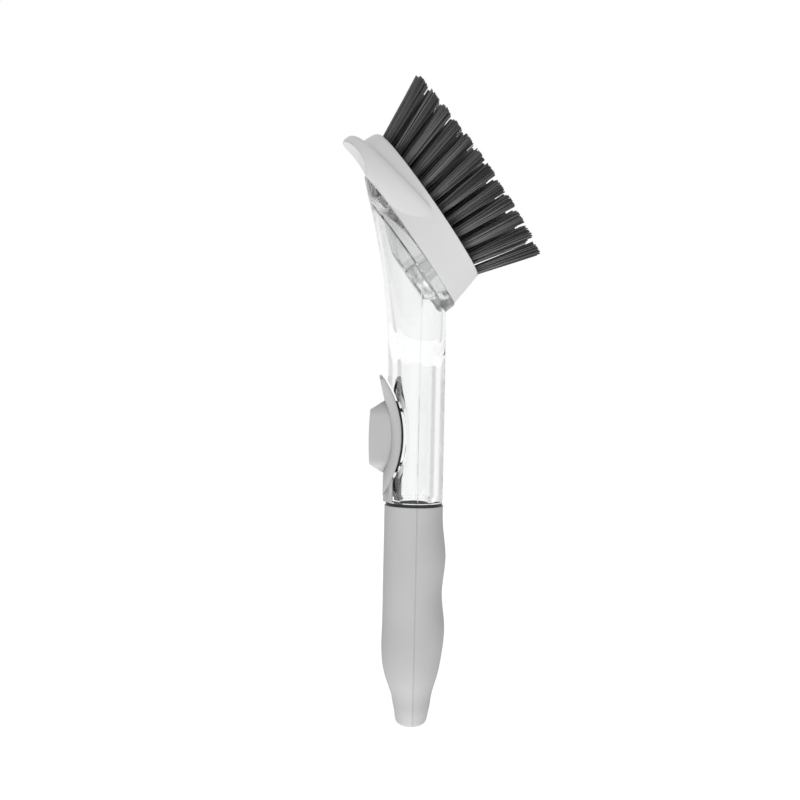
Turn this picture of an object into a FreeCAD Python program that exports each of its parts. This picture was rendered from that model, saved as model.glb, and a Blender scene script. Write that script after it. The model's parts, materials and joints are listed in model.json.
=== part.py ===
import FreeCAD, Part
import math
import os

Vector = FreeCAD.Vector
Rotation = FreeCAD.Rotation
Placement = FreeCAD.Placement

ORIGIN = Vector(0, 0, 0)
X_AXIS = Vector(1, 0, 0)
Y_AXIS = Vector(0, 1, 0)
Z_AXIS = Vector(0, 0, 1)

# A soap-dispensing dish wand standing on its tail. +Z runs along the handle to the brush head,
# +X is the bristle side, -X the side of the thumb button. The origin is the centre of the hang hole.

# Driving sizes in millimetres and degrees: name, value, what it measures
SIZES = [
    ("hang_hole_radius", 3.0, "hang hole through the tail, front to back"),
    ("tail_web", 3.9, "handle left below the hang hole"),
    ("tail_back", 7.1, "tail at the hang hole, axis to back"),
    ("tail_front", 8.4, "tail at the hang hole, axis to front"),
    ("tail_side", 9.2, "tail at the hang hole, half width"),
    ("grip_height", 88.6, "hang hole to the handle's top rim"),
    ("grip_back", 12.7, "handle axis to back"),
    ("grip_front", 12.7, "handle axis to front between the swells"),
    ("grip_side", 12.6, "handle half width"),
    ("swell_depth", 1.5, "how far the finger swells stand out"),
    ("upper_swell_height", 66.4, "upper finger swell"),
    ("valley_height", 50.4, "valley between the finger swells"),
    ("lower_swell_height", 37.5, "lower finger swell"),
    ("taper_height", 23.5, "start of the taper to the tail"),
    ("sleeve_wall", 2.0, "least thickness of the soft sleeve"),
    ("core_web", 5.0, "sleeve between the hang hole and the core's tip"),
    ("core_tip_radius", 5.0, "closed lower end of the core"),
    ("core_floor", 2.5, "floor of the core's chamber"),
    ("core_tip_wall", 2.0, "wall of the core at its tip"),
    ("socket_wall", 1.6, "core wall behind the thread groove"),
    ("thread_pitch", 4.0, "rise of the thread in one turn"),
    ("thread_depth", 1.0, "height of the thread ridge"),
    ("thread_crest", 1.1, "width of the ridge at its crest"),
    ("thread_root", 2.0, "width of the ridge at its root"),
    ("thread_gap", 0.25, "clearance all round the thread"),
    ("thread_turns", 1.5, "turns of the thread ridge on the neck"),
    ("thread_run_in", 0.25, "turns that the groove runs past the ridge"),
    ("thread_lead", 1.8, "plain end of the neck below the thread"),
    ("neck_length", 18.0, "neck below the tube's shoulder"),
    ("neck_wall", 1.6, "wall of the neck"),
    ("neck_end_gap", 1.5, "socket floor below the neck's end"),
    ("gasket_thickness", 1.4, "closure gasket"),
    ("gasket_gap", 0.3, "clearance of the gasket round the neck"),
    ("gasket_width", 4.15, "width of the gasket's ring"),
    ("tube_radius", 12.4, "outside of the clear tube"),
    ("tube_wall", 5.4, "wall of the clear tube"),
    ("throat_wall", 1.9, "wall of the throat at its mouth"),
    ("scoop_wall", 1.9, "wall behind the scoop"),
    ("shoulder_thickness", 2.4, "floor of the tube round the neck"),
    ("tube_straight", 58.0, "round part of the tube above the shoulder"),
    ("button_above_base", 28.0, "middle of the button and its scoop above the tube's base"),
    ("scoop_radius", 44.0, "round of the scoop in the tube's back"),
    ("scoop_depth", 7.3, "depth of the scoop at its middle"),
    ("port_length", 12.5, "half length of the pump port in the scoop"),
    ("port_width", 4.9, "half width of the pump port"),
    ("pump_seal_thickness", 0.9, "rubber pump seal under the bezel"),
    ("pump_seal_length", 15.5, "half length of the pump seal"),
    ("pump_seal_width", 8.6, "half width of the pump seal"),
    ("seat_clearance", 0.05, "between curved pieces that stay seated"),
    ("bezel_thickness", 4.2, "bezel over the pump seal"),
    ("bezel_width", 9.4, "half width of the bezel"),
    ("bezel_round", 3.4, "rounding of the bezel's long edges"),
    ("bezel_reach", 26.5, "half length of the bezel"),
    ("bezel_tip_rise", 3.6, "bezel tip beyond the tube's outside"),
    ("foot_thickness", 1.1, "bezel foot on the tube"),
    ("foot_width", 8.3, "half width of the bezel foot"),
    ("foot_height", 11.0, "bezel foot above the shoulder"),
    ("foot_gap", 0.3, "bezel foot above the gasket"),
    ("button_length", 15.7, "half length of the button"),
    ("button_width", 6.6, "half width of the button"),
    ("button_face_length", 11.6, "half length of the button's face"),
    ("button_rise", 7.1, "edge of the button's face beyond the tube's outside"),
    ("button_bevel", 6.1, "height of the end bevels"),
    ("button_crown", 0.45, "crown of the button's face"),
    ("button_gap", 0.3, "clearance of the button in the bezel"),
    ("button_travel", 3.0, "travel of the button"),
    ("plunger_length", 11.4, "half length of the plunger under the button"),
    ("plunger_width", 3.9, "half width of the plunger"),
    ("plunger_fit", 0.06, "clearance of the plunger in the pump seal"),
    ("dock_x", -4.33, "centre of the dock face, across"),
    ("dock_above_base", 112.4, "centre of the dock face above the tube's base"),
    ("head_tilt", 53.7, "dock face normal, from the handle's axis"),
    ("flange_length", 33.75, "half length of the dock flange"),
    ("flange_width", 22.0, "half width of the dock flange"),
    ("flange_thickness", 4.4, "dock flange"),
    ("flange_base_length", 29.0, "half length of the flange's underside"),
    ("flange_base_width", 21.4, "half width of the flange's underside"),
    ("flange_base_shift", 5.0, "underside's centre towards the heel"),
    ("flange_lip", 0.4, "flange's underside beyond the throat all round"),
    ("bowl_length", 24.0, "half length of the dock bowl's mouth"),
    ("bowl_width", 13.5, "half width of the dock bowl's mouth"),
    ("bowl_shift", 4.5, "bowl mouth's centre towards the heel"),
    ("bowl_depth", 5.0, "bowl below the flange"),
    ("bowl_floor_length", 12.0, "half length of the bowl's floor"),
    ("bowl_floor_width", 8.0, "half width of the bowl's floor"),
    ("bowl_wall", 1.6, "wall of the bowl"),
    ("nozzle_shift", 12.0, "nozzle axis towards the heel"),
    ("nozzle_radius", 5.6, "outside of the nozzle"),
    ("nozzle_height", 7.7, "nozzle above the dock face"),
    ("nozzle_bore", 2.2, "radius of the soap passage"),
    ("valve_radius", 3.0, "slit valve and its retainer"),
    ("valve_thickness", 1.4, "rim of the slit valve"),
    ("valve_slit", 0.3, "width of the valve's slit"),
    ("retainer_thickness", 2.0, "valve retainer ring"),
    ("retainer_bore", 1.9, "hole in the valve retainer"),
    ("seal_section", 0.75, "radius of the O-ring's section"),
    ("seal_proud", 0.3, "O-ring beyond the nozzle"),
    ("seal_height", 5.0, "O-ring above the dock face"),
    ("seal_clearance", 0.06, "O-ring in the head's socket"),
    ("head_shift", 6.7, "head's centre towards the toe"),
    ("head_length", 39.9, "half length of the head's base"),
    ("head_width", 25.0, "half width of the head's base"),
    ("head_height", 15.7, "head from dock face to bristle face"),
    ("head_draft", 2.35, "head's wall drawn in at the bristle face"),
    ("face_shift", 1.85, "bristle face's centre towards the toe from the base's"),
    ("toe_round", 2.0, "rounding of the bristle face's edge at the toe"),
    ("band_height", 11.7, "lower band with the pull tab, at its middle"),
    ("band_rise", 10.06, "rise of the band's top edge from the tab to its end"),
    ("band_end", 26.7, "band from the head's centre towards the heel"),
    ("band_proud", 0.4, "band's half width beyond the head's"),
    ("band_round", 2.4, "rounding of the band's top edge"),
    ("tab_reach", 5.0, "pull tab beyond the head's toe"),
    ("thumb_radius", 22.0, "thumb hollow under the pull tab"),
    ("thumb_depth", 2.7, "depth of the thumb hollow"),
    ("thumb_offset", 7.75, "thumb hollow's axis beyond the dock flange"),
    ("pocket_length", 26.0, "half length of the hollow under the head"),
    ("pocket_width", 15.0, "half width of the hollow under the head"),
    ("pocket_depth", 6.0, "depth of the hollow under the head"),
    ("socket_boss_wall", 2.0, "wall round the nozzle socket"),
    ("socket_end_gap", 0.4, "nozzle end to the socket's end"),
    ("outlet_radius", 1.4, "soap outlet among the bristles"),
    ("row_count", 12, "tuft rows from toe to heel"),
    ("row_span", 64.8, "first tuft row to the last"),
    ("row_squeeze", 0.1, "share by which the rows stand closer at the heel and wider at the toe"),
    ("row_shift", 5.9, "tuft rows' centre towards the toe"),
    ("row_stagger", 2.3, "inner tufts of a row before its outer ones, at the toe"),
    ("tuft_pitch", 6.2, "between tufts in a row"),
    ("tuft_margin", 3.2, "tuft axis to the edge of the bristle face"),
    ("tuft_root_radius", 2.0, "tuft in its hole"),
    ("tuft_tip_radius", 2.6, "tuft at its tip"),
    ("tuft_hole_depth", 6.0, "tuft hole along its axis"),
    ("tuft_hole_gap", 0.06, "tuft in its hole"),
    ("bristle_height", 27.0, "bristle face to the trimmed tips"),
    ("toe_lean", 24.0, "lean of the first row towards the toe"),
    ("heel_lean", 15.0, "lean of the last row towards the heel"),
    ("side_lean", 7.0, "outward lean of the outermost tufts"),
    ("anchor_length", 2.6, "tuft anchor"),
    ("anchor_width", 1.2, "tuft anchor"),
    ("anchor_thickness", 0.5, "tuft anchor"),
]

# Sizes that follow from the driving ones
CORE_RADIUS = "(min(sizes.grip_back; sizes.grip_front; sizes.grip_side) - sizes.sleeve_wall)"
CORE_TIP = "(sizes.hang_hole_radius + sizes.core_web)"
GROOVE_RADIUS = f"({CORE_RADIUS} - sizes.socket_wall)"
NECK_RADIUS = f"({GROOVE_RADIUS} - sizes.thread_gap - sizes.thread_depth)"
SOCKET_RADIUS = f"({NECK_RADIUS} + sizes.thread_gap)"
NECK_BORE = f"({NECK_RADIUS} - sizes.neck_wall)"
TUBE_BASE = "(sizes.grip_height + sizes.gasket_thickness)"
TUBE_TOP = f"({TUBE_BASE} + sizes.tube_straight)"
BUTTON_Z = f"({TUBE_BASE} + sizes.button_above_base)"
DOCK_Z = f"({TUBE_BASE} + sizes.dock_above_base)"
NECK_END = f"({TUBE_BASE} - sizes.neck_length)"
SOCKET_FLOOR = f"({NECK_END} - sizes.neck_end_gap)"
SCOOP_X = "(sizes.scoop_depth - sizes.tube_radius - sizes.scoop_radius)"
SCOOP_SPAN = "(2 * sizes.tube_radius)"
VALVE_SEAT = "(sizes.nozzle_height - sizes.retainer_thickness - sizes.valve_thickness)"
SEAL_CENTRE = "(sizes.nozzle_radius - sizes.seal_section + sizes.seal_proud)"

# How far a cutting shape runs past the face that it cuts through
OVERRUN = 1.0
# Degrees that the bezel's sweep runs past its window
SWEEP_OVERRUN = 1.0
# Points that an oval's smooth curve passes through
OVAL_POINTS = 16
# Sections of the thread in one turn, and share of the neck's wall that its ridge starts within
THREAD_STEPS = 20
RIDGE_SINK = 0.25
# Sections that shape the tube and its throat
TUBE_SECTIONS = 8
THROAT_SECTIONS = 6
# Powers of the way up the throat by which it widens and its back flares, and of the way down for its wall
WIDEN_POWER = 2.2
FLARE_POWER = 1.9
WALL_POWER = 3
# Round of the tail: share of its depth below the hang hole, share of the tail's width
TAIL_ROUND = [(1.0, 0.38), (0.9, 0.63), (0.58, 0.88)]
# Taper of the handle: share of the taper's height, share of the way from tail to full width
TAPER_SHARES = [(0.25, 0.17), (0.58, 0.66)]
# Share of the swell's depth at the taper's end, in the valley and half way to the rim
SWELL_AT_TAPER = 0.35
SWELL_IN_VALLEY = 0.15
SWELL_UNDER_RIM = 0.25
# Power of the way from toe to heel by which the stagger of the tufts fades
STAGGER_FADE = 4
# Rounded toe of the head: share of its height, share of its rounding
HEAD_EDGE = [(0.0, 0.0), (0.4, 0.0), (0.75, 0.06), (0.92, 0.36), (1.0, 1.0)]
# Rounded edge of the head's band: share of its height, share of its rounding
BAND_EDGE = [(0.0, 0.67), (0.2, 0.17), (0.5, 0.0), (0.8, 0.21), (1.0, 1.0)]

doc = FreeCAD.newDocument("dish_wand")
sheet = doc.addObject("Spreadsheet::Sheet", "sizes")
for row, (alias, number, remark) in enumerate(SIZES, start=1):
    sheet.set(f"A{row}", alias)
    sheet.set(f"B{row}", str(number))
    sheet.set(f"C{row}", remark)
    sheet.setAlias(f"B{row}", alias)
doc.recompute()

NODES = []


def size(name):
    """A driving size as a number."""
    return float(sheet.get(name))


def evaluate(expression):
    """A size that follows from the driving ones, as a number."""
    return float(sheet.evalExpression(expression))


def bound(kind, name, base=("0", "0", "0"), rotation=None, **expressions):
    """A primitive whose sizes and place follow the sheet."""
    item = doc.addObject(kind, name)
    item.Placement = Placement(ORIGIN, rotation or Rotation())
    for axis, expression in zip("xyz", base):
        item.setExpression(f"Placement.Base.{axis}", expression)
    for name_of_size, expression in expressions.items():
        item.setExpression(name_of_size, expression)
    return item


def cylinder(name, radius, height, base_z="0", base_x="0"):
    """An upright cylinder."""
    return bound("Part::Cylinder", name, (base_x, "0", base_z), Radius=radius, Height=height)


def cross_cylinder(name, radius):
    """A cylinder across the wand, on the axis of the scoop."""
    base = (SCOOP_X, f"-{SCOOP_SPAN} / 2", BUTTON_Z)
    return bound("Part::Cylinder", name, base, Rotation(X_AXIS, -90), Radius=radius, Height=SCOOP_SPAN)


def cut(name, base, tool):
    item = doc.addObject("Part::Cut", name)
    item.Base = base
    item.Tool = tool
    return item


def fuse(name, *items):
    item = doc.addObject("Part::MultiFuse", name)
    item.Shapes = list(items)
    return item


def feature(name, shape):
    item = doc.addObject("Part::Feature", name)
    item.Shape = shape
    return item


def node(item, label):
    """Hand in an object as a sub-part under its label."""
    item.Label = label
    NODES.append(item)
    return item


def in_head_frame(item):
    """Move a piece from the dock face's own frame to its place on the throat."""
    item.Placement = Placement(ORIGIN, Rotation(Y_AXIS, size("head_tilt")))
    item.setExpression("Placement.Base.x", "sizes.dock_x")
    item.setExpression("Placement.Base.z", DOCK_Z)
    item.setExpression("Placement.Rotation.Angle", "sizes.head_tilt")
    return item


def oval(semi_x, semi_y):
    """A smooth closed curve round an oval about the origin."""
    turns = [2 * math.pi * step / OVAL_POINTS for step in range(OVAL_POINTS)]
    points = [Vector(semi_x * math.cos(turn), semi_y * math.sin(turn), 0) for turn in turns]
    curve = Part.BSplineCurve()
    curve.interpolate(Points=points, Parameters=turns + [2 * math.pi], PeriodicFlag=True)
    return curve


def oval_prism(semi_x, semi_y, base_z, height):
    """An upright bar of oval section."""
    face = Part.Face(Part.Wire([oval(semi_x, semi_y).toShape()]))
    face.translate(Vector(0, 0, base_z))
    return face.extrude(Vector(0, 0, height))


def skin(sections):
    """A solid through ovals, each given by half length, half width, centre and turn about Y."""
    rings = []
    for semi_x, semi_y, centre, tilt in sections:
        ring = oval(semi_x, semi_y)
        place = Placement(centre, Rotation(Y_AXIS, tilt))
        rings.append([place.multVec(pole) for pole in ring.getPoles()])
    ways = [0.0]
    for below, above in zip(sections, sections[1:]):
        ways.append(ways[-1] + below[2].distanceToPoint(above[2]))
    columns = []
    for poles in zip(*rings):
        line = Part.BSplineCurve()
        line.interpolate(Points=list(poles), Parameters=ways)
        columns.append(line.getPoles())
    surface = Part.BSplineSurface()
    surface.buildFromPolesMultsKnots(columns, ring.getMultiplicities(), line.getMultiplicities(),
                                     ring.getKnots(), line.getKnots(), True, False, ring.Degree, line.Degree)
    side = surface.toShape()
    ends = [Part.Face(Part.Wire([edge])) for edge in side.Edges if edge.isClosed()]
    shell = Part.makeShell([side] + ends)
    shell.sewShape()
    return Part.Solid(shell)


def slot_prism(half_length, half_width, start_x, end_x):
    """A bar along X with a round-ended section, long way up, at the button's height."""
    middle = evaluate(BUTTON_Z)
    straight = half_length - half_width
    low_left = Vector(start_x, -half_width, middle - straight)
    low_right = Vector(start_x, half_width, middle - straight)
    high_left = Vector(start_x, -half_width, middle + straight)
    high_right = Vector(start_x, half_width, middle + straight)
    edges = [
        Part.LineSegment(low_right, high_right).toShape(),
        Part.Arc(high_right, Vector(start_x, 0, middle + half_length), high_left).toShape(),
        Part.LineSegment(high_left, low_left).toShape(),
        Part.Arc(low_left, Vector(start_x, 0, middle - half_length), low_right).toShape(),
    ]
    return Part.Face(Part.Wire(edges)).extrude(Vector(end_x - start_x, 0, 0))


def scoop_drum(radius):
    """A solid drum on the scoop's axis, wider than the wand."""
    width = 2 * evaluate(SCOOP_SPAN)
    base = Vector(evaluate(SCOOP_X), -width / 2, evaluate(BUTTON_Z))
    return Part.makeCylinder(radius, width, base, Y_AXIS)


# Handle: soft sleeve over a rigid threaded core

def grip_form():
    """Outside of the handle, from the rounded tail through the finger swells to the rim."""
    back, front, side = size("grip_back"), size("grip_front"), size("grip_side")
    tail = Vector(size("tail_back"), size("tail_front"), size("tail_side"))
    full = Vector(back, front, side)
    depth = size("hang_hole_radius") + size("tail_web")
    taper = size("taper_height")
    swell = Vector(0, size("swell_depth"), 0)
    stations = [(-depth * share, tail * width) for share, width in TAIL_ROUND]
    stations.append((0.0, tail))
    stations += [(taper * share, tail + (full - tail) * way) for share, way in TAPER_SHARES]
    stations += [
        (taper, full + swell * SWELL_AT_TAPER),
        (size("lower_swell_height"), full + swell),
        (size("valley_height"), full + swell * SWELL_IN_VALLEY),
        (size("upper_swell_height"), full + swell),
        ((size("upper_swell_height") + size("grip_height")) / 2, full + swell * SWELL_UNDER_RIM),
        (size("grip_height"), full),
    ]
    sections = []
    for height, (half_back, half_front, half_side) in stations:
        middle = Vector((half_front - half_back) / 2, 0, height)
        sections.append(((half_front + half_back) / 2, half_side, middle, 0.0))
    return skin(sections)


def thread_ridge(outer, root_width, crest_width, first_turn, last_turn):
    """A right-handed helical ridge from within the neck's wall out to a radius."""
    pitch = size("thread_pitch")
    start = evaluate(NECK_END) + size("thread_lead")
    inner = evaluate(NECK_RADIUS) - size("neck_wall") * RIDGE_SINK
    corners = [
        Vector(inner, 0, -root_width / 2),
        Vector(outer, 0, -crest_width / 2),
        Vector(outer, 0, crest_width / 2),
        Vector(inner, 0, root_width / 2),
    ]
    steps = math.ceil((last_turn - first_turn) * THREAD_STEPS)
    sections = []
    for step in range(steps + 1):
        turn = first_turn + (last_turn - first_turn) * step / steps
        section = Part.makePolygon(corners + corners[:1])
        section.Placement = Placement(Vector(0, 0, start + pitch * turn), Rotation(Z_AXIS, 360 * turn))
        sections.append(section)
    return Part.makeLoft(sections, True, True)


core_barrel = cylinder("core_barrel", CORE_RADIUS, "sizes.grip_height - sizes.taper_height",
                       "sizes.taper_height")
core_tail = bound("Part::Cone", "core_tail", ("0", "0", CORE_TIP), Radius1="sizes.core_tip_radius",
                  Radius2=CORE_RADIUS, Height=f"sizes.taper_height - {CORE_TIP}")
core_envelope = fuse("core_envelope", core_barrel, core_tail)
hang_hole = bound("Part::Cylinder", "hang_hole", ("-sizes.grip_back", "0", "0"), Rotation(Y_AXIS, 90),
                  Radius="sizes.hang_hole_radius", Height="sizes.grip_back + sizes.grip_front")
sleeve_blank = cut("sleeve_blank", feature("grip_form", grip_form()), core_envelope)
node(cut("grip_sleeve_cut", sleeve_blank, hang_hole), "grip_sleeve")

chamber_barrel = cylinder("chamber_barrel", NECK_RADIUS,
                          f"sizes.grip_height - sizes.taper_height + {OVERRUN}", "sizes.taper_height")
chamber_tail = bound("Part::Cone", "chamber_tail", ("0", "0", f"{CORE_TIP} + sizes.core_floor"),
                     Radius1="sizes.core_tip_radius - sizes.core_tip_wall", Radius2=NECK_RADIUS,
                     Height=f"sizes.taper_height - {CORE_TIP} - sizes.core_floor")
socket_bore = cylinder("socket_bore", SOCKET_RADIUS, f"sizes.grip_height - {SOCKET_FLOOR} + {OVERRUN}",
                       SOCKET_FLOOR)

neck_ridge = feature("neck_ridge", thread_ridge(
    evaluate(NECK_RADIUS) + size("thread_depth"), size("thread_root"), size("thread_crest"),
    0, size("thread_turns")))
groove_end = (size("neck_length") - size("thread_lead")) / size("thread_pitch") + size("thread_run_in")
both_flanks = 2 * size("thread_gap")
socket_groove = feature("socket_groove", thread_ridge(
    evaluate(GROOVE_RADIUS), size("thread_root") + 2 * both_flanks, size("thread_crest") + both_flanks,
    -size("thread_run_in"), groove_end))
core_hollow = fuse("core_hollow", chamber_barrel, chamber_tail, socket_bore)
core_cup = cut("core_cup", core_envelope, core_hollow)
node(cut("grip_core_cut", core_cup, socket_groove), "grip_core")

gasket_disc = cylinder("gasket_disc", f"{NECK_RADIUS} + sizes.gasket_gap + sizes.gasket_width",
                       "sizes.gasket_thickness - sizes.seat_clearance", "sizes.grip_height")
gasket_hole = cylinder("gasket_hole", f"{NECK_RADIUS} + sizes.gasket_gap", "sizes.gasket_thickness",
                       "sizes.grip_height")
node(cut("gasket_ring", gasket_disc, gasket_hole), "closure_gasket")


# Clear reservoir: round tube, scooped back, flared throat and threaded neck

def reservoir_form(start_z, tube_inset, mouth_inset):
    """Round tube from a height up, flaring into the oval mouth under the dock flange, less its walls."""
    flare_z = evaluate(TUBE_TOP)
    dock = Placement(Vector(size("dock_x"), 0, evaluate(DOCK_Z)), Rotation(Y_AXIS, size("head_tilt")))
    shift, depth = size("flange_base_shift"), size("flange_thickness")
    radius, lip = size("tube_radius"), size("flange_lip")
    mouth_length, mouth_width = size("flange_base_length") - lip, size("flange_base_width") - lip
    toe = dock.multVec(Vector(shift - mouth_length, 0, -depth))
    heel = dock.multVec(Vector(shift + mouth_length, 0, -depth))
    sections = []
    for step in range(TUBE_SECTIONS):
        height = start_z + (flare_z - start_z) * step / TUBE_SECTIONS
        sections.append((radius - tube_inset, radius - tube_inset, Vector(0, 0, height), 0.0))
    for step in range(THROAT_SECTIONS):
        way = step / (THROAT_SECTIONS - 1)
        inset = mouth_inset + (tube_inset - mouth_inset) * (1 - way) ** WALL_POWER
        back = Vector((toe.x + radius) * way ** FLARE_POWER - radius, 0, flare_z + (toe.z - flare_z) * way)
        front = Vector((heel.x - radius) * way + radius, 0, flare_z + (heel.z - flare_z) * way)
        lean = math.atan2(back.z - front.z, front.x - back.x)
        semi_x = back.distanceToPoint(front) / 2 - inset / math.cos(lean)
        semi_y = radius + (mouth_width - radius) * way ** WIDEN_POWER - inset
        sections.append((semi_x, semi_y, (back + front) / 2, math.degrees(lean)))
    return skin(sections)


outside = feature("reservoir_outside", reservoir_form(evaluate(TUBE_BASE), 0.0, 0.0))
inside = feature("reservoir_inside", reservoir_form(
    evaluate(TUBE_BASE) + size("shoulder_thickness"), size("tube_wall"), size("throat_wall")))
scooped = cut("scooped_outside", outside, cross_cylinder("scoop", "sizes.scoop_radius"))
scoop_backing = cross_cylinder("scoop_backing", "sizes.scoop_radius + sizes.scoop_wall")
chamber = cut("reservoir_chamber", inside, scoop_backing)
shell = cut("reservoir_shell", scooped, chamber)
neck = cylinder("neck", NECK_RADIUS, "sizes.neck_length + sizes.shoulder_thickness / 2", NECK_END)
neck_bore = cylinder("neck_bore", NECK_BORE, f"sizes.neck_length + sizes.shoulder_thickness + {2 * OVERRUN}",
                     f"{NECK_END} - {OVERRUN}")
pump_port = feature("pump_port", slot_prism(
    size("port_length"), size("port_width"), -size("tube_radius"), 0.0))
necked = fuse("necked_shell", shell, neck, neck_ridge)
node(cut("reservoir_cut", necked, fuse("reservoir_holes", neck_bore, pump_port)), "reservoir_body")


# Button group in the scoop: pump seal, bezel and button

def pump_seal():
    """Rubber seal that lies in the scoop round the pump port, with a slot for the plunger."""
    clearance = size("seat_clearance")
    outer = size("scoop_radius") - clearance
    inner = size("scoop_radius") - size("pump_seal_thickness") + clearance
    fit, start = size("plunger_fit"), -2 * size("tube_radius")
    plan = slot_prism(size("pump_seal_length"), size("pump_seal_width"), start, 0.0)
    slot = slot_prism(size("plunger_length") + fit, size("plunger_width") + fit, start, 0.0)
    return plan.common(scoop_drum(outer)).cut(scoop_drum(inner)).cut(slot)


def bezel():
    """Saddle-shaped leaf in the scoop, thinned towards its tip, with a foot wrapped round the tube."""
    axis_x = evaluate(SCOOP_X)
    middle = evaluate(BUTTON_Z)
    tube_radius = size("tube_radius")
    under = axis_x + size("scoop_radius") - size("pump_seal_thickness")
    top = under - size("bezel_thickness")
    half, round_edge = size("bezel_width"), size("bezel_round")
    dip = round_edge * (1 - math.sqrt(0.5))
    near_corner = [Vector(top + round_edge, -half, middle), Vector(top + dip, dip - half, middle),
                   Vector(top, round_edge - half, middle)]
    far_corner = [Vector(corner.x, -corner.y, middle) for corner in reversed(near_corner)]
    near_under, far_under = Vector(under, -half, middle), Vector(under, half, middle)
    edges = [
        Part.LineSegment(near_under, near_corner[0]).toShape(),
        Part.Arc(*near_corner).toShape(),
        Part.LineSegment(near_corner[2], far_corner[0]).toShape(),
        Part.Arc(*far_corner).toShape(),
        Part.LineSegment(far_corner[2], far_under).toShape(),
        Part.LineSegment(far_under, near_under).toShape(),
    ]
    swing = math.degrees(math.asin(size("bezel_reach") / (under - axis_x))) + SWEEP_OVERRUN
    pivot = Vector(axis_x, 0, middle)
    section = Part.Face(Part.Wire(edges))
    section.rotate(pivot, Y_AXIS, -swing)
    saddle = section.revolve(pivot, Y_AXIS, 2 * swing)

    reach = size("bezel_reach")
    foot_z = evaluate(TUBE_BASE) + size("foot_gap")
    foot_radius = tube_radius + size("foot_thickness")
    outline = [
        Vector(-foot_radius, -tube_radius, foot_z),
        Vector(-foot_radius, -tube_radius, middle + size("button_length")),
        Vector(-tube_radius - size("bezel_tip_rise"), -tube_radius, middle + reach),
        Vector(0, -tube_radius, middle + reach),
        Vector(0, -tube_radius, foot_z),
    ]
    window = Part.Face(Part.makePolygon(outline + outline[:1])).extrude(Vector(0, 2 * tube_radius, 0))
    disc = Part.makeCylinder(reach, 2 * foot_radius, Vector(-2 * foot_radius, 0, middle), X_AXIS)
    leaf = saddle.common(window).common(disc)

    foot_base = Vector(0, 0, foot_z)
    foot = Part.makeCylinder(foot_radius, size("foot_height"), foot_base)
    foot = foot.cut(Part.makeCylinder(tube_radius + size("seat_clearance"), size("foot_height"), foot_base))
    foot_block = Part.makeBox(foot_radius, 2 * size("foot_width"), size("foot_height"))
    foot_block.translate(foot_base + Vector(-foot_radius, -size("foot_width"), 0))
    leaf = leaf.fuse(foot.common(foot_block)).removeSplitter()

    gap = size("button_gap")
    opening = slot_prism(size("button_length") + gap, size("button_width") + gap, -2 * tube_radius, 0.0)
    return leaf.cut(opening)


def button():
    """Thumb button with bevelled ends and a crowned face, on a plunger that runs through the pump seal."""
    middle = evaluate(BUTTON_Z)
    face_x = -size("tube_radius") - size("button_rise")
    bevel_x = face_x + size("button_bevel")
    length, face_length, width = size("button_length"), size("button_face_length"), size("button_width")
    low, high = middle - length, middle + length
    face_low = Vector(face_x, -width, middle - face_length)
    face_high = Vector(face_x, -width, middle + face_length)
    crown = Vector(face_x - size("button_crown"), -width, middle)
    edges = [
        Part.LineSegment(Vector(0, -width, low), Vector(bevel_x, -width, low)).toShape(),
        Part.LineSegment(Vector(bevel_x, -width, low), face_low).toShape(),
        Part.Arc(face_low, crown, face_high).toShape(),
        Part.LineSegment(face_high, Vector(bevel_x, -width, high)).toShape(),
        Part.LineSegment(Vector(bevel_x, -width, high), Vector(0, -width, high)).toShape(),
        Part.LineSegment(Vector(0, -width, high), Vector(0, -width, low)).toShape(),
    ]
    block = Part.Face(Part.Wire(edges)).extrude(Vector(0, 2 * width, 0))
    block = block.common(slot_prism(length, width, 2 * face_x, 0.0))
    seal_radius = size("scoop_radius") - size("pump_seal_thickness")
    skirt_radius = seal_radius - size("button_travel") - size("button_gap")
    plunger = slot_prism(size("plunger_length"), size("plunger_width"), bevel_x, 0.0)
    plunger = plunger.common(scoop_drum(size("scoop_radius")))
    return block.common(scoop_drum(skirt_radius)).fuse(plunger).removeSplitter()


node(feature("seal", pump_seal()), "pump_seal")
node(feature("bezel", bezel()), "button_bezel")
node(feature("button", button()), "push_button")


# Dock: clear flange and bowl with the outlet nozzle, in the dock face's own frame

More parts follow.
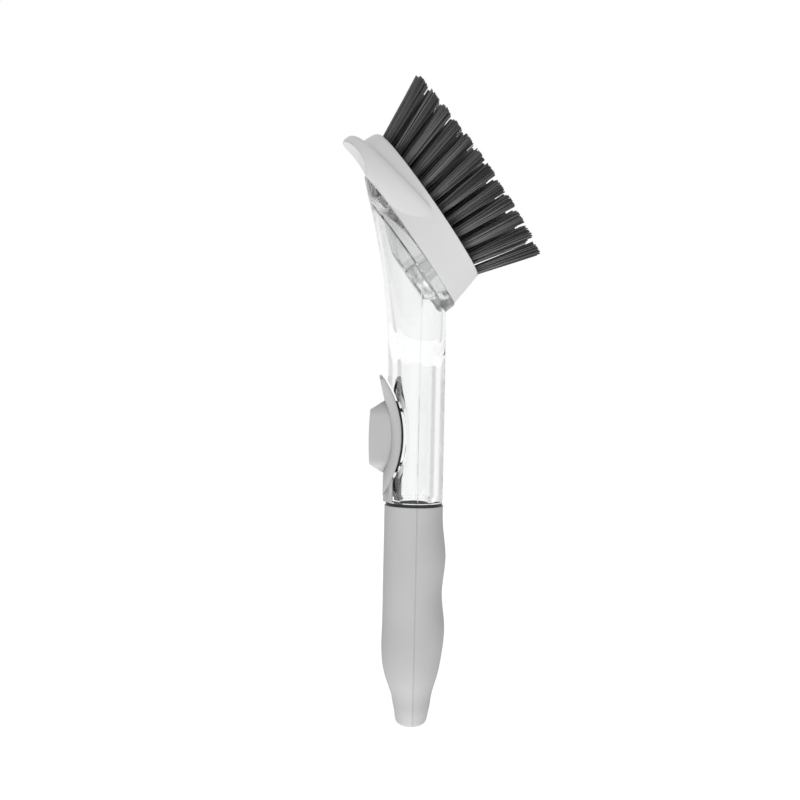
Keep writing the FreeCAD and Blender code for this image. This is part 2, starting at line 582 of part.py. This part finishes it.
def dock():
    """Flange, bowl and nozzle as one clear moulding; the dock face is the plane at height 0."""
    thickness, wall = size("flange_thickness"), size("bowl_wall")
    floor = -thickness - size("bowl_depth")
    mouth_x, floor_x = size("bowl_shift"), size("nozzle_shift")
    length, width = size("bowl_length"), size("bowl_width")
    floor_length, floor_width = size("bowl_floor_length"), size("bowl_floor_width")
    flange = skin([
        (size("flange_base_length"), size("flange_base_width"),
         Vector(size("flange_base_shift"), 0, -thickness), 0.0),
        (size("flange_length"), size("flange_width"), ORIGIN, 0.0),
    ])
    bowl = skin([
        (floor_length, floor_width, Vector(floor_x, 0, floor), 0.0),
        (length, width, Vector(mouth_x, 0, -thickness / 2), 0.0),
    ])
    hollow = skin([
        (floor_length - wall, floor_width - wall, Vector(floor_x, 0, floor + wall), 0.0),
        (length - wall, width - wall, Vector(mouth_x, 0, 0), 0.0),
    ])
    base = Vector(floor_x, 0, floor)
    nozzle = Part.makeCylinder(size("nozzle_radius"), size("nozzle_height") - floor, base)
    bore = Part.makeCylinder(size("nozzle_bore"), size("nozzle_height") - floor, base)
    seat = Vector(floor_x, 0, evaluate(VALVE_SEAT))
    pocket = Part.makeCylinder(size("valve_radius"), size("nozzle_height"), seat)
    groove_base = Vector(floor_x, 0, size("seal_height") - size("seal_section"))
    groove_root = evaluate(SEAL_CENTRE) - size("seal_section")
    groove = Part.makeCylinder(2 * size("nozzle_radius"), 2 * size("seal_section"), groove_base)
    groove = groove.cut(Part.makeCylinder(groove_root, 2 * size("seal_section"), groove_base))
    body = flange.fuse(bowl).cut(hollow).fuse(nozzle)
    return body.cut(bore).cut(pocket).cut(groove).removeSplitter()


node(in_head_frame(feature("dock", dock())), "dock_plate")

NOZZLE_X = "sizes.nozzle_shift"
valve_disc = cylinder("valve_disc", "sizes.valve_radius - sizes.seat_clearance", "sizes.valve_thickness",
                      VALVE_SEAT, NOZZLE_X)
valve_slit = bound("Part::Box", "valve_slit",
                   (f"{NOZZLE_X} - sizes.valve_slit / 2", "-sizes.retainer_bore", VALVE_SEAT),
                   Length="sizes.valve_slit", Width="2 * sizes.retainer_bore", Height="sizes.valve_thickness")
node(in_head_frame(cut("valve", valve_disc, valve_slit)), "slit_valve")

RETAINER_SEAT = f"{VALVE_SEAT} + sizes.valve_thickness"
retainer_disc = cylinder("retainer_disc", "sizes.valve_radius - sizes.seat_clearance",
                         "sizes.retainer_thickness", RETAINER_SEAT, NOZZLE_X)
retainer_hole = cylinder("retainer_hole", "sizes.retainer_bore", "sizes.retainer_thickness",
                         RETAINER_SEAT, NOZZLE_X)
node(in_head_frame(cut("retainer", retainer_disc, retainer_hole)), "valve_retainer")

SEAL_X = f"sizes.dock_x + {NOZZLE_X} * cos(sizes.head_tilt) + sizes.seal_height * sin(sizes.head_tilt)"
SEAL_Z = f"{DOCK_Z} - {NOZZLE_X} * sin(sizes.head_tilt) + sizes.seal_height * cos(sizes.head_tilt)"
seal_ring = bound("Part::Torus", "seal_ring", (SEAL_X, "0", SEAL_Z), Rotation(Y_AXIS, size("head_tilt")),
                  Radius1=SEAL_CENTRE, Radius2="sizes.seal_section - sizes.seat_clearance")
seal_ring.setExpression("Placement.Rotation.Angle", "sizes.head_tilt")
node(seal_ring, "nozzle_seal")


# Brush head: block with pull tab, tufts in leaning holes and their anchors

def tufts():
    """Rows of tufts as (foot of the tuft on the bristle face, direction of the bristles)."""
    count = int(size("row_count"))
    face_centre = -size("head_shift") - size("face_shift")
    semi_x = size("head_length") - size("head_draft")
    semi_y = size("head_width") - size("head_draft")
    clear_of_outlet = size("outlet_radius") + 2 * size("tuft_root_radius")
    outlet = Vector(size("nozzle_shift"), 0, size("head_height"))
    rows = []
    for index in range(count):
        way = index / max(count - 1, 1)
        share = way - 0.5 + size("row_squeeze") * way * (1 - way)
        along = share * size("row_span") - size("row_shift")
        offset = (along - face_centre) / semi_x
        half_chord = semi_y * math.sqrt(max(0.0, 1 - offset ** 2)) - size("tuft_margin")
        gaps = int(2 * max(half_chord, 0.0) / size("tuft_pitch"))
        lean = math.radians(way * size("heel_lean") - (1 - way) * size("toe_lean"))
        fade = 1 - way ** STAGGER_FADE
        row = []
        for place in range(gaps + 1):
            across = (place - gaps / 2) * size("tuft_pitch")
            stagger = size("row_stagger") * fade if 0 < place < gaps else 0.0
            spread = math.radians(size("side_lean") * across / semi_y)
            foot = Vector(along - stagger, across, size("head_height"))
            if foot.distanceToPoint(outlet) > clear_of_outlet:
                row.append((foot, Vector(math.tan(lean), math.tan(spread), 1).normalize()))
        rows.append(row)
    return rows


def head_block(rows):
    """Drafted oval block on a lower band that runs out into the pull tab at the toe."""
    centre, height = -size("head_shift"), size("head_height")
    length, width, draft = size("head_length"), size("head_width"), size("head_draft")
    sections = []
    for share, rounding in HEAD_EDGE:
        inset = rounding * size("toe_round") / 2
        middle = Vector(centre - share * size("face_shift") + inset, 0, share * height)
        sections.append((length - share * draft - inset, width - share * draft, middle, 0.0))
    block = skin(sections)

    toe, end = centre - length - size("tab_reach"), centre + size("band_end")
    side = width + size("band_proud")
    slope = math.degrees(math.atan(size("band_rise") / (end - toe)))
    sections = []
    for share, rounding in BAND_EDGE:
        inset = rounding * size("band_round")
        middle = Vector((toe + inset + end) / 2, 0, share * size("band_height"))
        sections.append(((end - toe - inset) / 2, side - inset / 2, middle, -share * slope))
    band = skin(sections)
    hollow_x = -size("flange_length") - size("thumb_offset")
    hollow_base = Vector(hollow_x, -2 * width, size("thumb_depth") - size("thumb_radius"))
    hollow = Part.makeCylinder(size("thumb_radius"), 4 * width, hollow_base, Y_AXIS)

    socket_radius = evaluate(SEAL_CENTRE) + size("seal_section") + size("seal_clearance")
    socket_depth = size("nozzle_height") + size("socket_end_gap")
    nozzle_foot = Vector(size("nozzle_shift"), 0, 0)
    pocket = oval_prism(size("pocket_length"), size("pocket_width"), 0, size("pocket_depth"))
    boss = Part.makeCylinder(socket_radius + size("socket_boss_wall"), size("pocket_depth"), nozzle_foot)
    socket = Part.makeCylinder(socket_radius, socket_depth, nozzle_foot)
    outlet = Part.makeCylinder(size("outlet_radius"), height, nozzle_foot)

    depth = size("tuft_hole_depth")
    hole_radius = size("tuft_root_radius") + size("tuft_hole_gap")
    holes = []
    for foot, direction in (tuft for row in rows for tuft in row):
        holes.append(Part.makeCylinder(hole_radius, 2 * depth, foot - direction * depth, direction))
    body = block.fuse(band)
    for tool in [hollow, pocket.cut(boss), socket, outlet] + holes:
        body = body.cut(tool)
    return body


def tuft_row(row):
    """The tufts of one row, round in their holes, flared above them and trimmed at one height."""
    anchored = size("tuft_hole_depth") - size("anchor_thickness")
    root_radius, tip_radius = size("tuft_root_radius"), size("tuft_tip_radius")
    collar = root_radius
    trim = size("head_height") + size("bristle_height")
    reach = 4 * (size("head_length") + size("bristle_height"))
    above = Part.makeBox(reach, reach, reach, Vector(-reach / 2, -reach / 2, trim))
    solids = []
    for foot, direction in row:
        root = Part.makeCylinder(root_radius, anchored + collar, foot - direction * anchored, direction)
        free = (size("bristle_height") + tip_radius) / direction.z - collar
        flare = Part.makeCone(root_radius, tip_radius, free, foot + direction * collar, direction)
        solids.append(root.fuse(flare).cut(above).Solids[0])
    return Part.makeCompound(solids)


def tuft_anchors(rows):
    """A flat anchor on the floor of each tuft hole."""
    length, width, thickness = size("anchor_length"), size("anchor_width"), size("anchor_thickness")
    anchors = []
    for foot, direction in (tuft for row in rows for tuft in row):
        anchor = Part.makeBox(length, width, thickness, Vector(-length / 2, -width / 2, 0))
        anchor.Placement = Placement(foot - direction * size("tuft_hole_depth"), Rotation(Z_AXIS, direction))
        anchors.append(anchor)
    return Part.makeCompound(anchors)


tuft_rows = tufts()
node(in_head_frame(feature("head", head_block(tuft_rows))), "head_block")
for number, row_of_tufts in enumerate(tuft_rows, start=1):
    node(in_head_frame(feature(f"row_{number:02d}", tuft_row(row_of_tufts))), f"tuft_row_{number:02d}")
node(in_head_frame(feature("anchors", tuft_anchors(tuft_rows))), "tuft_anchors")


# Check every object, then write each sub-part
doc.recompute()
for item in doc.Objects:
    if "Invalid" in item.State or "Error" in item.State:
        raise RuntimeError(f"{item.Label} failed: {item.State}")
for item in NODES:
    if item.Shape.isNull() or not item.Shape.isValid() or not item.Shape.Solids:
        raise RuntimeError(f"{item.Label} has no valid solid")

os.makedirs("parts", exist_ok=True)
for item in NODES:
    item.Shape.exportStep(f"parts/{item.Label}.step")
    box = item.Shape.BoundBox
    print(f"{item.Label}: {len(item.Shape.Solids)} solids, {item.Shape.Volume:.0f} mm3,"
          f" x {box.XMin:.1f} to {box.XMax:.1f}, y {box.YMin:.1f} to {box.YMax:.1f},"
          f" z {box.ZMin:.1f} to {box.ZMax:.1f}")
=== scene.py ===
import json
import math
import random

import bpy
import numpy as np
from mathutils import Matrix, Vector


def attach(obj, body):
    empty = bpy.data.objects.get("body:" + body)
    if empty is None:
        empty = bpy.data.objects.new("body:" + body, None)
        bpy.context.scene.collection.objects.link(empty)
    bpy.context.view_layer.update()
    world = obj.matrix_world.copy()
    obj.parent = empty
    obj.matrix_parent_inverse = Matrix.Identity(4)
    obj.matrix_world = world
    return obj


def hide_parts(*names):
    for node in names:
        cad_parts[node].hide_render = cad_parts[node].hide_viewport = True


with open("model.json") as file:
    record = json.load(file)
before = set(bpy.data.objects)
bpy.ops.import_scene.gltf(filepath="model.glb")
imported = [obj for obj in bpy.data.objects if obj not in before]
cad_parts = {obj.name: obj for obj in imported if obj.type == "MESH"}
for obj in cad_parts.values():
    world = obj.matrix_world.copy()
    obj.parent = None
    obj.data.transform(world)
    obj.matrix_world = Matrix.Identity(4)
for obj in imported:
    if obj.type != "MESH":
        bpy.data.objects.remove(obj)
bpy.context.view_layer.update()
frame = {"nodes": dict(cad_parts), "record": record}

MM = 0.001
WHITE = (1.0, 1.0, 1.0, 1.0)
rng = random.Random(41)

# Dock face: its place and the frame of the brush head on it (millimetres)
DOCK = np.array([-4.33, 0.0, 202.4])
TILT = math.radians(53.7)
TOE_TO_HEEL = np.array([math.cos(TILT), 0.0, -math.sin(TILT)])
ACROSS = np.array([0.0, 1.0, 0.0])
OUTWARD = np.array([math.sin(TILT), 0.0, math.cos(TILT)])


# Materials (lengths in metres)

DRIFT_DETAIL = 6.0
DRIFT_LOW, DRIFT_HIGH = 0.25, 0.75
GLOSS_DRIFT = 0.15
EDGE_SAMPLES = 4
GRAIN_SCALE, GRAIN_DETAIL, GRAIN_DEPTH = 900.0, 3.0, 0.00005
SEAM_X = 0.0013
SEAM_CORE, SEAM_EDGE = 0.00008, 0.0003
# Seam: the share that darkens the colour along the parting line is painted shade; then the real groove's bump
# strength and depth
SEAM_SHADE_TONE, SEAM_STRENGTH, SEAM_DEPTH = 0.92, -0.6, 0.0003
CLEAR_IOR = 1.49
# Places of a colour mix node's sockets, which share their names with those for other data
MIX_FACTOR, MIX_FROM, MIX_TO, MIX_RESULT = 0, 6, 7, 2


def material(name, color, roughness, vary=0.04, scale=40.0, bump=0.0, edge=0.0, seam_and_shade=False, strands=False,
             **sockets):
    """A procedural material: its colour and gloss drift a little, with a fine moulded grain and soft edges.

    With strands, the colour changes from one loose piece of the mesh to the next. With a seam, a groove is
    sunk along the parting line, and painted shade darkens the colour along it.
    """
    mat = bpy.data.materials.new(name)
    mat.use_nodes = True
    nodes, links = mat.node_tree.nodes, mat.node_tree.links
    shader = nodes["Principled BSDF"]
    place = nodes.new("ShaderNodeTexCoord")
    drift = nodes.new("ShaderNodeTexNoise")
    drift.inputs["Scale"].default_value = scale
    drift.inputs["Detail"].default_value = DRIFT_DETAIL
    links.new(place.outputs["Object"], drift.inputs["Vector"])
    tone = nodes.new("ShaderNodeValToRGB")
    darkest, palest = tone.color_ramp.elements
    darkest.position = DRIFT_LOW
    palest.position = DRIFT_HIGH
    darkest.color = [c * (1 - vary) for c in color] + [1.0]
    palest.color = [min(1.0, c * (1 + vary)) for c in color] + [1.0]
    change = drift.outputs["Fac"]
    if strands:
        change = nodes.new("ShaderNodeNewGeometry").outputs["Random Per Island"]
    links.new(change, tone.inputs["Fac"])
    shade = tone.outputs["Color"]
    gloss = nodes.new("ShaderNodeMapRange")
    gloss.inputs["To Min"].default_value = roughness * (1 - GLOSS_DRIFT)
    gloss.inputs["To Max"].default_value = min(1.0, roughness * (1 + GLOSS_DRIFT))
    links.new(drift.outputs["Fac"], gloss.inputs["Value"])
    links.new(gloss.outputs["Result"], shader.inputs["Roughness"])

    normal = None
    if edge:
        soft = nodes.new("ShaderNodeBevel")
        soft.samples = EDGE_SAMPLES
        soft.inputs["Radius"].default_value = edge
        normal = soft.outputs["Normal"]
    if bump:
        grain = nodes.new("ShaderNodeTexNoise")
        grain.inputs["Scale"].default_value = GRAIN_SCALE
        grain.inputs["Detail"].default_value = GRAIN_DETAIL
        links.new(place.outputs["Object"], grain.inputs["Vector"])
        normal = relief(nodes, links, grain.outputs["Fac"], bump, GRAIN_DEPTH, normal)
    # Parting line: a real sunk groove, plus painted shade that darkens the colour along it
    if seam_and_shade:
        groove = seam_line(nodes, links, place.outputs["Object"])
        seam_shade = nodes.new("ShaderNodeMix")
        seam_shade.data_type = "RGBA"
        seam_shade.inputs[MIX_TO].default_value = [c * SEAM_SHADE_TONE for c in color] + [1.0]
        links.new(groove, seam_shade.inputs[MIX_FACTOR])
        links.new(shade, seam_shade.inputs[MIX_FROM])
        shade = seam_shade.outputs[MIX_RESULT]
        normal = relief(nodes, links, groove, SEAM_STRENGTH, SEAM_DEPTH, normal)
    links.new(shade, shader.inputs["Base Color"])
    if normal:
        links.new(normal, shader.inputs["Normal"])
    for socket, value in sockets.items():
        shader.inputs[socket.replace("_", " ")].default_value = value
    return mat


def relief(nodes, links, height, strength, depth, normal):
    """A bump from a height, sunk where its strength is negative."""
    node = nodes.new("ShaderNodeBump")
    node.invert = strength < 0
    node.inputs["Strength"].default_value = abs(strength)
    node.inputs["Distance"].default_value = depth
    links.new(height, node.inputs["Height"])
    if normal:
        links.new(normal, node.inputs["Normal"])
    return node.outputs["Normal"]


def ranged(nodes, links, value, from_min, from_max, to_min, to_max):
    """A value eased from one range to another."""
    node = nodes.new("ShaderNodeMapRange")
    node.interpolation_type = "SMOOTHSTEP"
    node.inputs["From Min"].default_value = from_min
    node.inputs["From Max"].default_value = from_max
    node.inputs["To Min"].default_value = to_min
    node.inputs["To Max"].default_value = to_max
    links.new(value, node.inputs["Value"])
    return node.outputs["Result"]


def seam_line(nodes, links, place):
    """1 on the parting line down both sides of the wand, 0 elsewhere."""
    axes = nodes.new("ShaderNodeSeparateXYZ")
    links.new(place, axes.inputs["Vector"])
    aside = nodes.new("ShaderNodeMath")
    aside.operation = "SUBTRACT"
    links.new(axes.outputs["X"], aside.inputs[0])
    aside.inputs[1].default_value = SEAM_X
    width = nodes.new("ShaderNodeMath")
    width.operation = "ABSOLUTE"
    links.new(aside.outputs[0], width.inputs[0])
    return ranged(nodes, links, width.outputs[0], SEAM_CORE, SEAM_EDGE, 1.0, 0.0)


# Grip: a seam groove, with painted shade darkening its colour along the parting line
GRIP = material("grip_rubber", (0.55, 0.55, 0.555), 0.62, bump=0.35, edge=0.0006, seam_and_shade=True)
CORE = material("core_plastic", (0.72, 0.72, 0.72), 0.45)
RUBBER = material("seal_rubber", (0.012, 0.012, 0.013), 0.5, vary=0.3)
# Clear tube: a seam groove, with painted shade darkening its colour along the parting line into a dark streak
CLEAR = material("clear_plastic", (0.965, 0.97, 0.97), 0.02, vary=0.01, seam_and_shade=True,
                 Transmission_Weight=1.0, IOR=CLEAR_IOR)
DOCK_CLEAR = material("dock_plastic", (0.9, 0.905, 0.905), 0.16, vary=0.03,
                      Transmission_Weight=1.0, IOR=CLEAR_IOR)
GREY = material("grey_plastic", (0.53, 0.53, 0.535), 0.45, bump=0.15, edge=0.0007)
HEAD = material("head_plastic", (0.75, 0.75, 0.75), 0.4, vary=0.02, bump=0.1, edge=0.0008)
BRISTLE = material("bristle_nylon", (0.095, 0.095, 0.097), 0.36, vary=0.6, scale=260.0, strands=True)
SILICONE = material("valve_silicone", (0.8, 0.81, 0.81), 0.35, Subsurface_Weight=0.2)
ANCHOR = material("anchor_metal", (0.7, 0.7, 0.7), 0.3, Metallic=1.0)

SLOT_MATERIALS = {
    "grip_rubber": GRIP,
    "core_plastic": CORE,
    "seal_rubber": RUBBER,
    "clear_plastic": CLEAR,
    "grey_plastic": GREY,
    "head_plastic": HEAD,
    "bristle_nylon": BRISTLE,
    "valve_silicone": SILICONE,
    "anchor_metal": ANCHOR,
}
SLOTS = {part["node"]: part["material_slot"] for part in frame["record"]["subparts"]}
for node, obj in frame["nodes"].items():
    obj.data.materials.clear()
    obj.data.materials.append(SLOT_MATERIALS[SLOTS[node]])
    obj.data.polygons.foreach_set("use_smooth", [True] * len(obj.data.polygons))
# The dock is a little duller than the tube
frame["nodes"]["dock_plate"].data.materials[0] = DOCK_CLEAR


def piece(name, points, faces, mat, body, replaced):
    """A new mesh piece, given in millimetres, that rides on a body in place of the named nodes."""
    mesh = bpy.data.meshes.new(name)
    mesh.from_pydata((np.asarray(points) * MM).tolist(), [], faces)
    mesh.polygons.foreach_set("use_smooth", [True] * len(mesh.polygons))
    mesh.materials.append(mat)
    mesh.update()
    obj = bpy.data.objects.new(name, mesh)
    bpy.context.scene.collection.objects.link(obj)
    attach(obj, body)
    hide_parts(*replaced)


# Bristles: nylon filaments in flaring tufts, trimmed to nearly one height (millimetres and degrees)

# Oval of the block's bristle face, in the head's own frame
FACE = 15.7
FACE_CENTRE = -8.55
FACE_LENGTH, FACE_WIDTH = 37.55, 22.65
# Rows of tufts from toe to heel, with room for the soap outlet
ROWS = 12
ROW_SPAN, ROW_SQUEEZE, ROW_SHIFT, ROW_STAGGER = 64.8, 0.1, 5.9, 2.3
STAGGER_FADE = 4
TUFT_PITCH, TUFT_MARGIN = 6.2, 3.2
TOE_LEAN, HEEL_LEAN, SIDE_LEAN = 24.0, 15.0, 7.0
OUTLET_X, OUTLET_ROOM = 12.0, 5.4
# Filaments: the radius of one, the tuft's radius at its root and tip, and how far they differ
FILAMENTS = 84
FILAMENT = 0.23
FILAMENT_SIDES = 5
BRISTLE_HEIGHT = 27.0
ROOT_SPREAD, TIP_SPREAD = 1.77, 3.0
TRIM_SPREAD, BOW_SPREAD, STRAY_SPREAD = 0.35, 0.1, 0.15
# Points along a filament, from just inside the block to the tip, as shares of its height
SHARES = (-0.04, 0.5, 1.0)


def tuft_rows():
    """Feet and slopes of the tufts, in the head's own frame."""
    rows = []
    for index in range(ROWS):
        way = index / (ROWS - 1)
        along = (way - 0.5 + ROW_SQUEEZE * way * (1 - way)) * ROW_SPAN - ROW_SHIFT
        lean = math.tan(math.radians(way * HEEL_LEAN - (1 - way) * TOE_LEAN))
        half_chord = FACE_WIDTH * math.sqrt(1 - ((along - FACE_CENTRE) / FACE_LENGTH) ** 2) - TUFT_MARGIN
        gaps = int(2 * half_chord / TUFT_PITCH)
        stagger = ROW_STAGGER * (1 - way ** STAGGER_FADE)
        row = []
        for spot in range(gaps + 1):
            across = (spot - gaps / 2) * TUFT_PITCH
            foot = along - (stagger if 0 < spot < gaps else 0.0)
            if math.hypot(foot - OUTLET_X, across) > OUTLET_ROOM:
                splay = math.tan(math.radians(SIDE_LEAN * across / FACE_WIDTH))
                row.append((foot, across, lean, splay))
        rows.append(row)
    return rows


def filament(points, faces, path):
    """A thin round filament along a path."""
    start = len(points)
    for step, (x, y, z) in enumerate(path):
        for side in range(FILAMENT_SIDES):
            turn = 2 * math.pi * side / FILAMENT_SIDES
            points.append((x + FILAMENT * math.cos(turn), y + FILAMENT * math.sin(turn), z))
        if step:
            low = start + (step - 1) * FILAMENT_SIDES
            high = low + FILAMENT_SIDES
            for side in range(FILAMENT_SIDES):
                after = (side + 1) % FILAMENT_SIDES
                faces.append((low + side, low + after, high + after, high + side))
    end = start + (len(path) - 1) * FILAMENT_SIDES
    faces.append(tuple(start + side for side in reversed(range(FILAMENT_SIDES))))
    faces.append(tuple(end + side for side in range(FILAMENT_SIDES)))


def tuft(points, faces, foot_x, foot_y, lean, splay):
    """Filaments scattered over a round foot, flaring to the tip, each a little bowed and stray."""
    for _ in range(FILAMENTS):
        reach = math.sqrt(rng.random())
        turn = rng.uniform(0, 2 * math.pi)
        out_x, out_y = reach * math.cos(turn), reach * math.sin(turn)
        height = BRISTLE_HEIGHT - abs(rng.gauss(0, TRIM_SPREAD))
        bow = rng.gauss(0, BOW_SPREAD)
        stray = rng.gauss(0, STRAY_SPREAD)
        path = []
        for share in SHARES:
            z = share * height
            wide = ROOT_SPREAD + (TIP_SPREAD - ROOT_SPREAD) * max(share, 0.0)
            sway = bow * (1 - (2 * share - 1) ** 2) + stray * max(share, 0.0)
            path.append((foot_x + lean * z + wide * out_x + sway, foot_y + splay * z + wide * out_y, FACE + z))
        filament(points, faces, path)


def in_head(points):
    """From the head's own frame to the wand's."""
    points = np.asarray(points)
    return DOCK + points[:, :1] * TOE_TO_HEEL + points[:, 1:2] * ACROSS + points[:, 2:] * OUTWARD


for number, row in enumerate(tuft_rows(), start=1):
    points, faces = [], []
    for place in row:
        tuft(points, faces, *place)
    piece(f"bristles_{number:02d}", in_head(points), faces, BRISTLE, "brush_head",
          [f"tuft_row_{number:02d}"])


# Stage: pale floor, white surroundings with grey sides for the clear plastic, soft studio light (metres)

# Grey sides: how far aside a ray points where the grey begins and is full, and the full grey
SIDE_FROM, SIDE_TO, SIDE_GREY = 0.5, 0.85, 0.7
# Light of the surroundings: strongest from the front and below
LIT_TOWARD = (-0.15, -0.9, -0.4)
LIT_FROM, LIT_TO = -0.5, 0.9
LIT_LEAST, LIT_MOST = 0.36, 0.98
FLOOR_GLOW = 0.6
FLOOR_CORNERS = [(-5, -4, -1.5), (5, -4, -1.5), (5, 15, -1.5), (-5, 15, -1.5)]
KEY_PLACE, KEY_SIZE, KEY_WATTS = (-0.1, -0.55, -1.3), 0.9, 14.0
MIDDLE = (0.0, 0.0, 0.13)


def light_path_mix(tree, rays, seen, lit):
    """Joins a shader for what the named rays see with one for all others."""
    nodes, links = tree.nodes, tree.links
    path = nodes.new("ShaderNodeLightPath")
    total = path.outputs[rays[0]]
    for ray in rays[1:]:
        either = nodes.new("ShaderNodeMath")
        either.operation = "MAXIMUM"
        links.new(total, either.inputs[0])
        links.new(path.outputs[ray], either.inputs[1])
        total = either.outputs[0]
    mix = nodes.new("ShaderNodeMixShader")
    links.new(total, mix.inputs["Fac"])
    links.new(lit, mix.inputs[1])
    links.new(seen, mix.inputs[2])
    return mix.outputs["Shader"]


def background(nodes, links, strength=None):
    """White surroundings of strength 1, or of a strength that a socket gives."""
    node = nodes.new("ShaderNodeBackground")
    node.inputs["Color"].default_value = WHITE
    node.inputs["Strength"].default_value = 1.0
    if strength:
        links.new(strength, node.inputs["Strength"])
    return node.outputs["Background"]


world = bpy.data.worlds.new("studio")
bpy.context.scene.world = world
world.use_nodes = True
tree = world.node_tree
nodes, links = tree.nodes, tree.links
nodes.remove(nodes["Background"])
toward = nodes.new("ShaderNodeTexCoord")
axes = nodes.new("ShaderNodeSeparateXYZ")
links.new(toward.outputs["Generated"], axes.inputs["Vector"])
aside = nodes.new("ShaderNodeMath")
aside.operation = "ABSOLUTE"
links.new(axes.outputs["X"], aside.inputs[0])
ahead = nodes.new("ShaderNodeVectorMath")
ahead.operation = "DOT_PRODUCT"
ahead.inputs[1].default_value = LIT_TOWARD
links.new(toward.outputs["Generated"], ahead.inputs[0])
white = background(nodes, links)
sides = background(nodes, links, ranged(nodes, links, aside.outputs[0], SIDE_FROM, SIDE_TO, 1.0, SIDE_GREY))
lit = background(nodes, links,
                 ranged(nodes, links, ahead.outputs["Value"], LIT_FROM, LIT_TO, LIT_LEAST, LIT_MOST))
mirrored = light_path_mix(tree, ["Is Glossy Ray", "Is Transmission Ray"], sides, lit)
seen = light_path_mix(tree, ["Is Camera Ray"], white, mirrored)
links.new(seen, nodes["World Output"].inputs["Surface"])

floor_mat = material("floor", (0.93, 0.93, 0.93), 0.8, vary=0.01)
tree = floor_mat.node_tree
nodes, links = tree.nodes, tree.links
dull = nodes["Principled BSDF"].outputs["BSDF"]
glow = nodes.new("ShaderNodeEmission")
glow.inputs["Color"].default_value = WHITE
glow.inputs["Strength"].default_value = FLOOR_GLOW
brighter = nodes.new("ShaderNodeAddShader")
links.new(dull, brighter.inputs[0])
links.new(glow.outputs["Emission"], brighter.inputs[1])
seen = light_path_mix(tree, ["Is Camera Ray", "Is Glossy Ray", "Is Transmission Ray"],
                      brighter.outputs["Shader"], dull)
links.new(seen, nodes["Material Output"].inputs["Surface"])
mesh = bpy.data.meshes.new("floor")
mesh.from_pydata(FLOOR_CORNERS, [], [(0, 1, 2, 3)])
mesh.materials.append(floor_mat)
floor = bpy.data.objects.new("floor", mesh)
bpy.context.scene.collection.objects.link(floor)

lamp = bpy.data.lights.new("key", "AREA")
lamp.size = KEY_SIZE
lamp.energy = KEY_WATTS
key = bpy.data.objects.new("key", lamp)
key.location = KEY_PLACE
key.rotation_euler = (Vector(MIDDLE) - Vector(KEY_PLACE)).to_track_quat("-Z", "Y").to_euler()
bpy.context.scene.collection.objects.link(key)

# Camera at the photograph's angle, nearly level and rolled a little
CAMERA_PLACE = (-0.0071, -0.460, 0.1411)
CAMERA_PITCH, CAMERA_ROLL = 89.1, -1.2
SENSOR_WIDTH, LENS = 36.0, 47.92
camera = bpy.data.cameras.new("camera")
camera.sensor_width = SENSOR_WIDTH
camera.lens = LENS
cam = bpy.data.objects.new("camera", camera)
bpy.context.scene.collection.objects.link(cam)
cam.location = CAMERA_PLACE
cam.rotation_euler = (math.radians(CAMERA_PITCH), math.radians(CAMERA_ROLL), 0)
bpy.context.scene.camera = cam
bpy.context.scene.view_settings.view_transform = "Standard"
